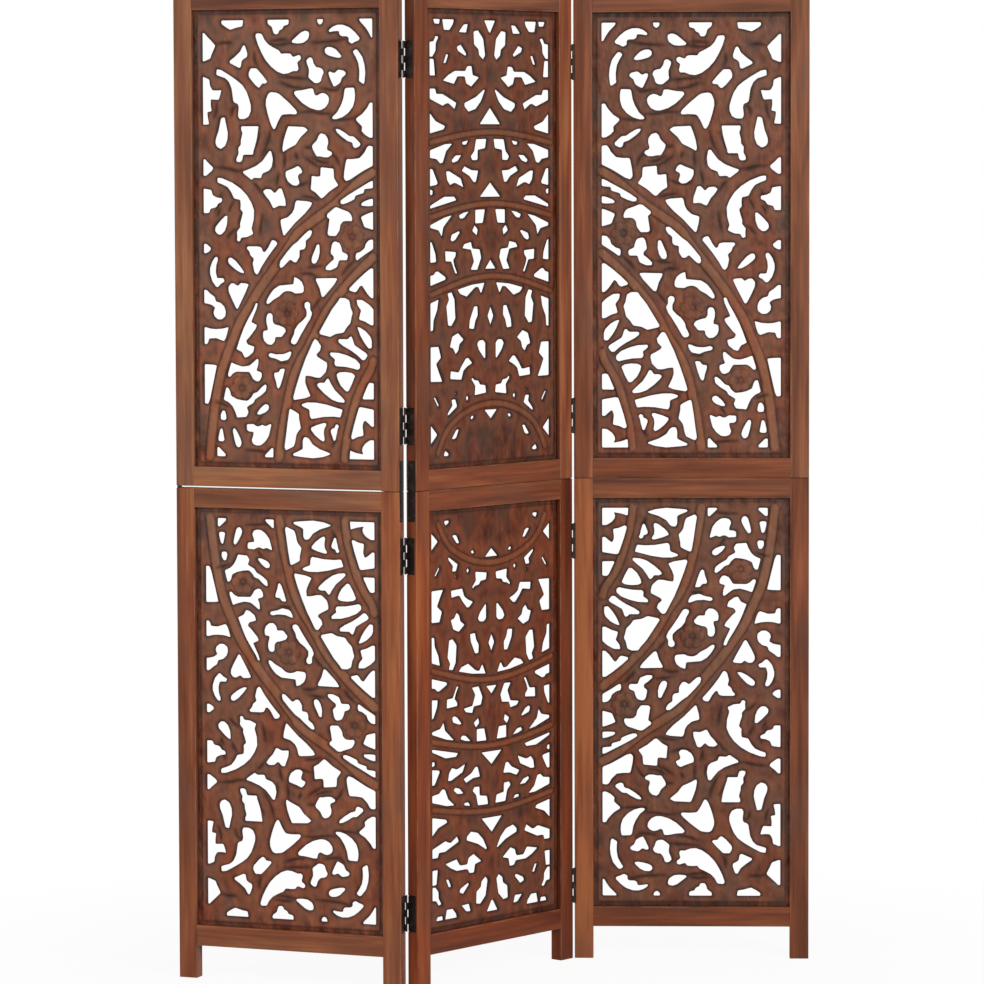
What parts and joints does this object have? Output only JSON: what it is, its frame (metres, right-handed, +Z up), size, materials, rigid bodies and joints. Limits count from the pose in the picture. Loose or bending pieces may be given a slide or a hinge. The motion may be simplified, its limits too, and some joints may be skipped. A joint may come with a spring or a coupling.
{
  "type": "folding carved screen",
  "caption": "Three-panel folding room screen: framed wooden panels in two stacked sections with pierced floral lattice boards, steel hinges and seam plates.",
  "frame": {"origin": "on the floor, at the middle of the footprint of the screen as it stands folded in the picture", "axes": "+Z up along the panels, -Y towards the picture's viewer, +X to the viewer's right"},
  "size_m": [1.0666, 0.3336, 1.65],
  "materials": {
    "frame_wood": "waxed, red-brown, lightly worn arrises",
    "carved_wood": "carved and stained, darker in the recesses",
    "hinge_steel": "black, satin",
    "plate_steel": "black, satin"
  },
  "bodies": {
    "left_panel": {"left_left_seam_plate": "plate_steel", "left_lower_bottom_rail": "frame_wood", "left_lower_carved_board": "carved_wood", "left_lower_left_stile": "frame_wood", "left_lower_right_stile": "frame_wood", "left_lower_top_rail": "frame_wood", "left_right_hinge_leaf_1": "hinge_steel", "left_right_hinge_leaf_2": "hinge_steel", "left_right_hinge_leaf_3": "hinge_steel", "left_right_hinge_leaf_4": "hinge_steel", "left_right_seam_plate": "plate_steel", "left_upper_bottom_rail": "frame_wood", "left_upper_carved_board": "carved_wood", "left_upper_left_stile": "frame_wood", "left_upper_right_stile": "frame_wood", "left_upper_top_rail": "frame_wood"},
    "centre_panel": {"centre_left_hinge_leaf_1": "hinge_steel", "centre_left_hinge_leaf_2": "hinge_steel", "centre_left_hinge_leaf_3": "hinge_steel", "centre_left_hinge_leaf_4": "hinge_steel", "centre_left_seam_plate": "plate_steel", "centre_lower_bottom_rail": "frame_wood", "centre_lower_carved_board": "carved_wood", "centre_lower_left_stile": "frame_wood", "centre_lower_right_stile": "frame_wood", "centre_lower_top_rail": "frame_wood", "centre_right_hinge_leaf_1": "hinge_steel", "centre_right_hinge_leaf_2": "hinge_steel", "centre_right_hinge_leaf_3": "hinge_steel", "centre_right_hinge_leaf_4": "hinge_steel", "centre_right_seam_plate": "plate_steel", "centre_upper_bottom_rail": "frame_wood", "centre_upper_carved_board": "carved_wood", "centre_upper_left_stile": "frame_wood", "centre_upper_right_stile": "frame_wood", "centre_upper_top_rail": "frame_wood"},
    "right_panel": {"right_left_hinge_leaf_1": "hinge_steel", "right_left_hinge_leaf_2": "hinge_steel", "right_left_hinge_leaf_3": "hinge_steel", "right_left_hinge_leaf_4": "hinge_steel", "right_left_seam_plate": "plate_steel", "right_lower_bottom_rail": "frame_wood", "right_lower_carved_board": "carved_wood", "right_lower_left_stile": "frame_wood", "right_lower_right_stile": "frame_wood", "right_lower_top_rail": "frame_wood", "right_right_seam_plate": "plate_steel", "right_upper_bottom_rail": "frame_wood", "right_upper_carved_board": "carved_wood", "right_upper_left_stile": "frame_wood", "right_upper_right_stile": "frame_wood", "right_upper_top_rail": "frame_wood"}
  },
  "joints": [
    {"name": "left_fold", "type": "hinge", "parent": "centre_panel", "child": "left_panel", "pos_m": [-0.14994, -0.144, 0], "axis": [0, 0, 1], "range_deg": [-110, 70]},
    {"name": "right_fold", "type": "hinge", "parent": "centre_panel", "child": "right_panel", "pos_m": [0.13217, 0.14227, 0], "axis": [0, 0, 1], "range_deg": [-128.7, 51.3]}
  ]
}
